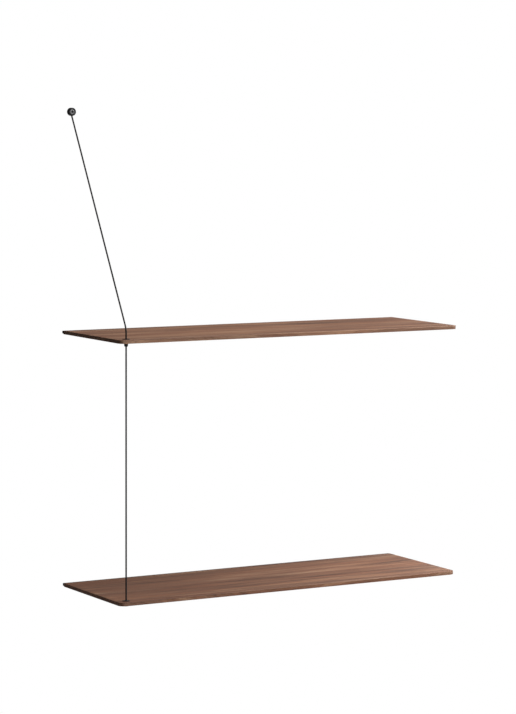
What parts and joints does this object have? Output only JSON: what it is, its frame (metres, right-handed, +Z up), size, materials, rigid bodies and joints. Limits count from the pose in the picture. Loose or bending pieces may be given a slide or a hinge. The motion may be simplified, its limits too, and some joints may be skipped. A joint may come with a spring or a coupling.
{
  "type": "wall shelf",
  "caption": "Wall shelf of thin walnut boards on slim black wall rails, hung at the front left corner from a round wall knob by one coated wire.",
  "frame": {"origin": "on the wall plane, at the middle of the upper rail's row of wall screw holes", "axes": "+X to the right along the wall, +Y into the wall, +Z up"},
  "size_m": [0.6, 0.2, 0.7542],
  "materials": {
    "walnut_face": "oiled walnut veneer, straight grain along the board, satin",
    "walnut_edge": "layered core with a square walnut-lipped edge, oiled",
    "rail_black": "black powder-coated extrusion, fine texture",
    "fitting_black": "black plated turned steel, semi-gloss",
    "screw_steel": "dark plated steel with a turned face",
    "washer_steel": "zinc-plated steel",
    "wire_coating": "black nylon coating on steel wire, semi-gloss"
  },
  "bodies": {
    "shelf": {"upper_board_core": "walnut_edge", "upper_top_veneer": "walnut_face", "upper_bottom_veneer": "walnut_face", "upper_wall_rail": "rail_black", "upper_rail_screws": "screw_steel", "upper_wire_bush": "fitting_black", "upper_support_washer": "washer_steel", "lower_board_core": "walnut_edge", "lower_top_veneer": "walnut_face", "lower_bottom_veneer": "walnut_face", "lower_wall_rail": "rail_black", "lower_rail_screws": "screw_steel", "lower_wire_bush": "fitting_black", "lower_support_washer": "washer_steel", "lower_end_stop": "fitting_black", "suspension_wire": "wire_coating", "knob_base": "fitting_black", "knob_cap": "fitting_black"},
    "stop_collar": {"upper_stop_collar": "fitting_black"},
    "collar_screw": {"collar_grub_screw": "screw_steel"},
    "clamp_screw": {"knob_clamp_screw": "screw_steel"}
  },
  "joints": [
    {"name": "collar_slide", "type": "slide", "parent": "shelf", "child": "stop_collar", "axis": [0, 0, -1], "range_m": [0, 0.38]},
    {"name": "collar_screw_turn", "type": "hinge", "parent": "stop_collar", "child": "collar_screw", "pos_m": [-0.2845, -0.187, 0.00545], "axis": [0, 1, 0], "range_deg": [0, 360]},
    {"name": "clamp_screw_turn", "type": "hinge", "parent": "shelf", "child": "clamp_screw", "pos_m": [-0.2845, 0, 0.3492], "axis": [0, -1, 0], "range_deg": [0, 360]}
  ]
}
